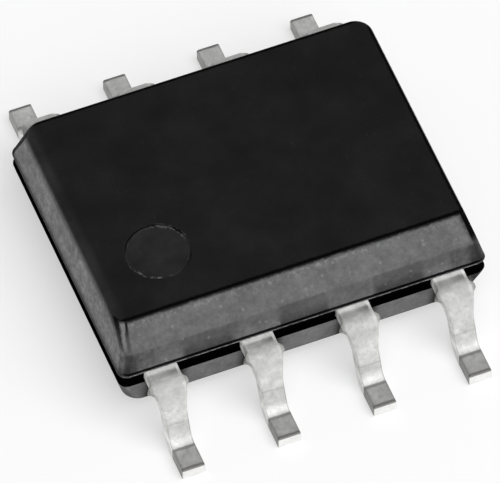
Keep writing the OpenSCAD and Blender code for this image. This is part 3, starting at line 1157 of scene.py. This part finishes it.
@dataclass
class FormedLead:
    """One lead: its stamped, plated and bent outside stretch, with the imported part's inner plates."""

    size: PartSizes
    number: int
    upper_corner_out: float = 0.35
    lower_corner_in: float = 0.42
    bend_radius: float = 0.10
    foot_radius: float = 0.12
    top_round: float = 0.022
    under_round: float = 0.010
    tip_round: float = 0.012
    root_out: float = 1.84
    root_overlap: float = 0.01
    bend_steps: int = 18
    root_steps: int = 8
    leg_steps: int = 12
    round_steps: int = 4
    face_steps: int = 6

    def __post_init__(self) -> None:
        """Works out the side view from the sizes: the leg's turn and the middles of both bends."""
        size, thick = self.size, self.size.lead_thickness
        upper = (size.half_width + self.upper_corner_out, size.frame_top)
        lower = (size.half_span - self.lower_corner_in, thick)
        self.turn = math.pi / 2 - math.atan2(lower[0] - upper[0], upper[1] - lower[1])
        set_back = math.tan(self.turn / 2)
        self.upper_centre = (upper[0] - (self.bend_radius + thick) * set_back,
                             size.frame_bottom - self.bend_radius)
        self.lower_centre = (lower[0] + self.foot_radius * set_back, thick + self.foot_radius)
        self.row = Row.BEVELLED if self.number <= LEADS_IN_ROW else Row.PLAIN

    def bend(self, centre: Flat, radius: float, start: float, end: float) -> list[Point]:
        """Stretch of the middle line round a bend.

        Args:
            centre: Middle of the bend (out, up).
            radius: Radius of the middle line, below 0 where the middle of the bend lies over it.
            start: Slope at the start, in radians down from level.
            end: Slope at the end.

        Returns:
            Points (out, up, heading).
        """
        slopes = [between(start, end, i / self.bend_steps) for i in range(self.bend_steps + 1)]
        return [(centre[0] + radius * math.sin(slope), centre[1] + radius * math.cos(slope), -slope)
                for slope in slopes]

    def middle_line(self) -> list[Point]:
        """Line along the middle of the lead, from inside the moulding to near the tip.

        Returns:
            Points (out, up, heading), with the heading in radians from level.
        """
        half = self.size.lead_thickness / 2
        upper = self.bend(self.upper_centre, self.bend_radius + half, 0.0, self.turn)
        lower = self.bend(self.lower_centre, -self.foot_radius - half, self.turn, 0.0)
        root = (self.root_out, self.size.frame_bottom + half, 0.0)
        tip = (self.size.half_span, half, 0.0)
        return [*stretch(root, upper[0], (i / self.root_steps for i in range(self.root_steps))), *upper,
                *stretch(upper[-1], lower[0], (i / self.leg_steps for i in range(1, self.leg_steps))),
                *lower, *stretch(lower[-1], tip, (0.25, 0.5, 0.75, 0.9))]

    def width_at(self, run: float) -> float:
        """Width of the lead, which widens to its cut stubs and narrows to its foot.

        Args:
            run: Distance along the middle line from the start of the upper bend.

        Returns:
            The width there.
        """
        size = self.size
        lead, stub, leg, foot = size.lead_width, size.stub_width, size.leg_width, size.foot_width
        stations = ((-1.0, lead), (0.010, lead), (0.042, stub - 0.010), (0.052, stub), (0.086, stub),
                    (0.098, stub - 0.020), (0.125, lead + 0.010), (0.160, leg), (0.240, leg - 0.038),
                    (0.320, foot + 0.030), (0.400, foot + 0.006), (0.450, foot))
        for (start, before), (end, after) in zip(stations, stations[1:]):
            if run <= end:
                return between(before, after, (run - start) / (end - start))
        return foot

    def section(self, width: float, shrink: float) -> list[Flat]:
        """Section of the lead, rounder on top than underneath.

        Args:
            width: Full width of the section.
            shrink: Distance that the section is taken in all round.

        Returns:
            Points (across, up) round the section.
        """
        half_width, half_height = width / 2 - shrink, self.size.lead_thickness / 2 - shrink
        points: list[Flat] = []
        for quarter, (side, up) in enumerate(((1, 1), (-1, 1), (-1, -1), (1, -1))):
            radius = self.top_round if up > 0 else self.under_round
            flat = half_width - radius
            points += arc((side * flat, up * (half_height - radius)), radius,
                          90.0 * quarter, 90.0 * (quarter + 1), self.round_steps)
            if quarter % 2 == 0:
                points += [(side * between(flat, -flat, i / self.face_steps), up * half_height)
                           for i in range(1, self.face_steps)]
        return points

    def outside(self, mesh: bmesh.types.BMesh) -> None:
        """Adds the formed stretch from inside the moulding to the tip of the foot.

        Args:
            mesh: Geometry that gets the stretch.
        """
        size = self.size
        cuts = [(point, 0.0) for point in self.middle_line()]
        for share in (0.0, 0.35, 0.7, 1.0):
            turn = share * math.pi / 2
            out = size.half_span - self.tip_round * (1 - math.sin(turn))
            cuts.append(((out, size.lead_thickness / 2, 0.0), self.tip_round * (1 - math.cos(turn))))
        run = self.root_out - self.upper_centre[0]
        before = cuts[0][0]
        rings = []
        for (out, up, heading), shrink in cuts:
            run += math.hypot(out - before[0], up - before[1])
            before = (out, up, heading)
            rings.append([
                mesh.verts.new((size.lead_x(self.number) + across,
                                self.row.value * (out - math.sin(heading) * over),
                                up + math.cos(heading) * over))
                for across, over in self.section(self.width_at(run), shrink)])
        for first, second in zip(rings, rings[1:]):
            join_rings(mesh, first, second)
        mesh.faces.new(rings[0])
        mesh.faces.new(rings[-1])

    def inside(self, mesh: bmesh.types.BMesh) -> None:
        """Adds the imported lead's plates inside the moulding, cut off where the outside stretch starts.

        Args:
            mesh: Geometry that gets the plates.
        """
        packed = bmesh.new()
        packed.from_mesh(frame["nodes"][f"lead_{self.number}"].data)
        bmesh.ops.scale(packed, vec=Vector((1 / MM,) * 3), verts=packed.verts)
        bmesh.ops.remove_doubles(packed, verts=packed.verts, dist=1e-5)
        outwards = Vector((0.0, float(self.row.value), 0.0))
        cut = bmesh.ops.bisect_plane(
            packed, geom=[*packed.verts, *packed.edges, *packed.faces], dist=1e-6,
            plane_co=outwards * (self.root_out + self.root_overlap), plane_no=outwards, clear_outer=True)
        rim = [part for part in cut["geom_cut"] if isinstance(part, bmesh.types.BMEdge)]
        bmesh.ops.holes_fill(packed, edges=rim, sides=0)
        data = to_data(packed, "plates")
        mesh.from_mesh(data)
        bpy.data.meshes.remove(data)

    def build(self, finish: TinPlate) -> bpy.types.Object:
        """Builds the lead and dresses it.

        Args:
            finish: Plating that all the leads share.

        Returns:
            The piece.
        """
        mesh = bmesh.new()
        self.outside(mesh)
        self.inside(mesh)
        return make_piece(f"formed_lead_{self.number}", mesh, finish, f"lead_{self.number}")


@dataclass
class Inside:
    """What the moulding holds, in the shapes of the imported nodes."""

    size: PartSizes
    # Each finish and how the names of the nodes in it end.
    finishes: tuple[tuple[type[Finish], str], ...] = (
        (DrawnWire, "_wire"), (EmitterCrystal, "emitter_die"), (PolishedSilicon, "detector_die"),
        (SilverEpoxy, "_attach"), (ClearSilicone, "coupling_gel"), (WhiteCoat, "reflector_coat"))

    def build(self) -> list[bpy.types.Object]:
        """Dresses the chips, their wires and the light path over them.

        Returns:
            The nodes' own objects.
        """
        dressed = []
        for kind, ending in self.finishes:
            finish = kind(self.size)
            nodes = [node for name, node in frame["nodes"].items() if name.endswith(ending)]
            for node in nodes:
                node.data.materials.clear()
                node.data.materials.append(finish.owner)
            dressed += nodes
        return dressed


@dataclass
class Studio:
    """Pale floor, big soft lamp over the front, a bright horizon and the camera, in millimetres."""

    # Floor: its radius, how far it lies under the feet, the share of it that glows white, and its colour.
    floor_radius: float = 900.0
    floor_drop: float = 0.002
    floor_lift: float = 0.50
    floor_colour: Colour = (0.95, 0.95, 0.95)
    # Lamp: side, distance, the way to it, and the brightness of its face, where a white card's is 1.
    lamp_side: float = 160.0
    lamp_distance: float = 150.0
    lamp_towards: Point = (0.21, -0.46, 0.86)
    lamp_radiance: float = 3.3
    # Grey of the world overhead, where the horizon is 1.
    overhead: float = 0.10
    # Camera: where it looks, its angles in degrees, and how far it stands right of, over and back from there.
    target: Point = (0.0, 0.0, 0.8)
    azimuth: float = -20.663
    elevation: float = 53.544
    roll: float = -1.124
    stands: Point = (0.031459, -0.401625, 150.0)
    lens: float = 868.572
    sensor: float = 36.0

    def camera(self) -> None:
        """Makes the camera and aims it."""
        data = bpy.data.cameras.new("camera")
        data.sensor_width, data.lens = self.sensor, self.lens
        data.clip_start, data.clip_end = 0.001, 10.0
        aim = Matrix.Translation(Vector(self.target) * MM)
        for turn, axis in ((self.azimuth, "Z"), (90.0 - self.elevation, "X"), (self.roll, "Z")):
            aim @= Matrix.Rotation(math.radians(turn), 4, axis)
        camera = put("camera", data)
        camera.matrix_world = aim @ Matrix.Translation(Vector(self.stands) * MM)
        bpy.context.scene.camera = camera

    def lamp(self) -> None:
        """Makes the square soft lamp and turns it to the part."""
        side = self.lamp_side * MM
        towards = Vector(self.lamp_towards)
        data = bpy.data.lights.new("softbox", "AREA")
        data.shape = "SQUARE"
        data.size = side
        data.energy = self.lamp_radiance * math.pi * side * side
        lamp = put("softbox", data)
        lamp.location = towards.normalized() * self.lamp_distance * MM
        lamp.rotation_mode = "QUATERNION"
        lamp.rotation_quaternion = towards.to_track_quat("Z", "Y")

    def world(self) -> None:
        """Makes a bright horizon that darkens overhead, the same for every ray."""
        world = bpy.data.worlds.new("studio")
        bpy.context.scene.world = world
        shading = Shading(world)
        height = shading.parts(shading.add("TexCoord").outputs["Generated"]).z
        dim, white = (shading.add("Background", inputs={"Color": (grey,) * 3}).outputs[0]
                      for grey in (self.overhead, 1.0))
        sky = shading.add("MixShader", inputs={0: height.rise(0.55, 0.30), 1: dim, 2: white})
        shading.add("OutputWorld", inputs={"Surface": sky.outputs[0]})

    def paper(self) -> bpy.types.Material:
        """Pale floor paper that reads white where nothing shades it.

        Returns:
            The material.
        """
        shading = Shading(bpy.data.materials.new("floor"))
        path = shading.add("LightPath").outputs
        camera, glossy, through = (Signal(shading, path[f"Is {ray} Ray"])
                                   for ray in ("Camera", "Glossy", "Transmission"))
        matt = shading.add("BsdfDiffuse", inputs={"Color": self.floor_colour})
        glow = shading.add("Emission", inputs={"Strength": 1.0})
        both = shading.add("MixShader", inputs={
            0: self.floor_lift * (camera | glossy | through), 1: matt.outputs[0], 2: glow.outputs[0]})
        shading.add("OutputMaterial", inputs={"Surface": both.outputs[0]})
        return shading.owner

    def floor(self) -> None:
        """Makes the round floor, just under the feet."""
        mesh = bmesh.new()
        bmesh.ops.create_circle(mesh, cap_ends=True, segments=96, radius=self.floor_radius * MM)
        floor = put("floor", to_data(mesh, "floor"))
        floor.data.materials.append(self.paper())
        floor.location.z = -self.floor_drop * MM

    def build(self) -> None:
        """Makes everything round the part."""
        for make in (self.camera, self.world, self.floor, self.lamp):
            make()
        log.info("studio: camera, world, floor and lamp")


def main() -> None:
    """Builds the studio and the component piece by piece, and logs each piece's faces and material."""
    bpy.context.scene.view_settings.view_transform = "Standard"
    Studio().build()
    size = PartSizes.of_frame()
    pieces = [MouldingShell(size).build()]
    tin = TinPlate(size)
    pieces += [FormedLead(size, number).build(tin) for number in range(1, 2 * LEADS_IN_ROW + 1)]
    pieces += Inside(size).build()
    for piece in pieces:
        log.info("%s: %d faces in %s", piece.name, len(piece.data.polygons), piece.data.materials[0].name)


if __name__ == "__main__":
    main()
